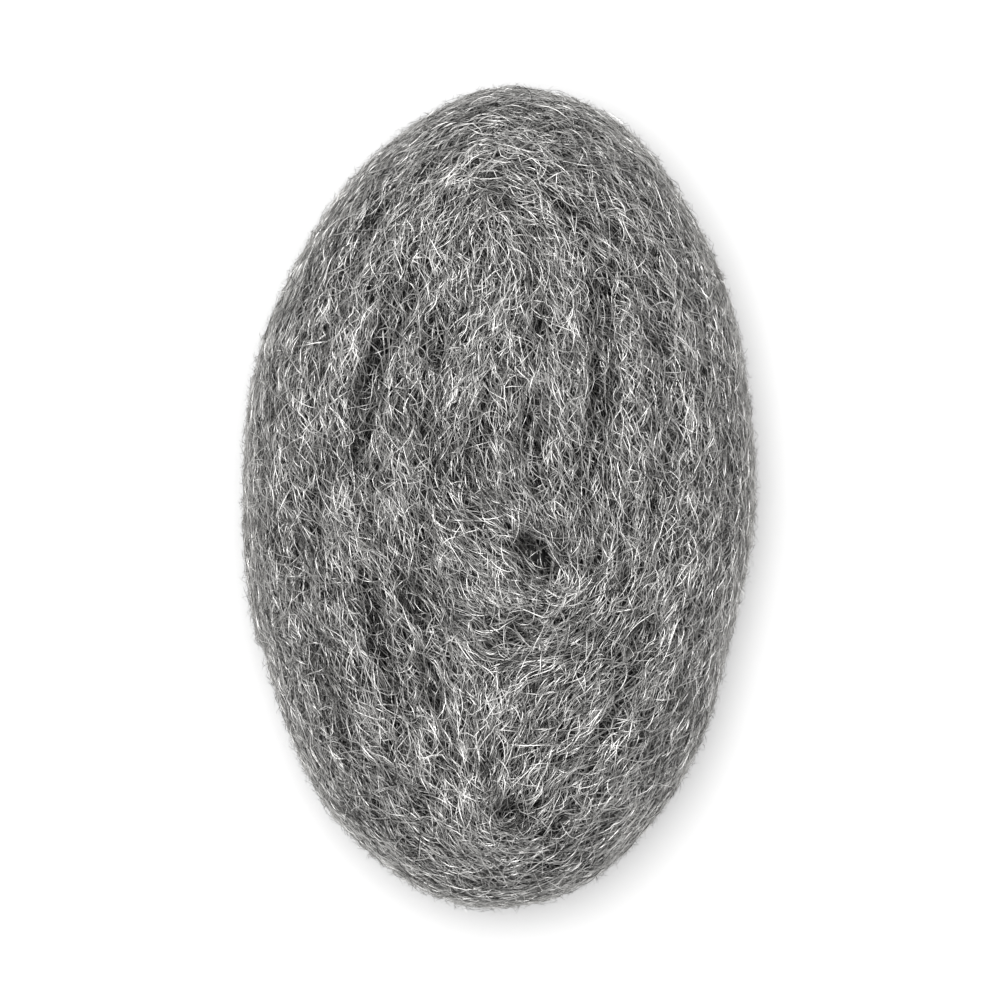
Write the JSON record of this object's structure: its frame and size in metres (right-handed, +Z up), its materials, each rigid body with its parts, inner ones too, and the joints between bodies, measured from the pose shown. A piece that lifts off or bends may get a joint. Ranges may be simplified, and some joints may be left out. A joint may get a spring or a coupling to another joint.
{
  "type": "steel wool pad",
  "caption": "Oval hand pad of wound steel wool for scouring and polishing, lying flat on its broad face.",
  "frame": {"origin": "middle of the pad's outside box, on the surface it lies on", "axes": "+Z up through the pad's thickness, +Y along its length towards the leaning head, +X across its width"},
  "size_m": [0.072, 0.115, 0.027],
  "materials": {
    "steel_fibre": "matted bare steel fibre"
  },
  "bodies": {
    "root": {"steel_wool_pad": "steel_fibre"}
  },
  "joints": []
}
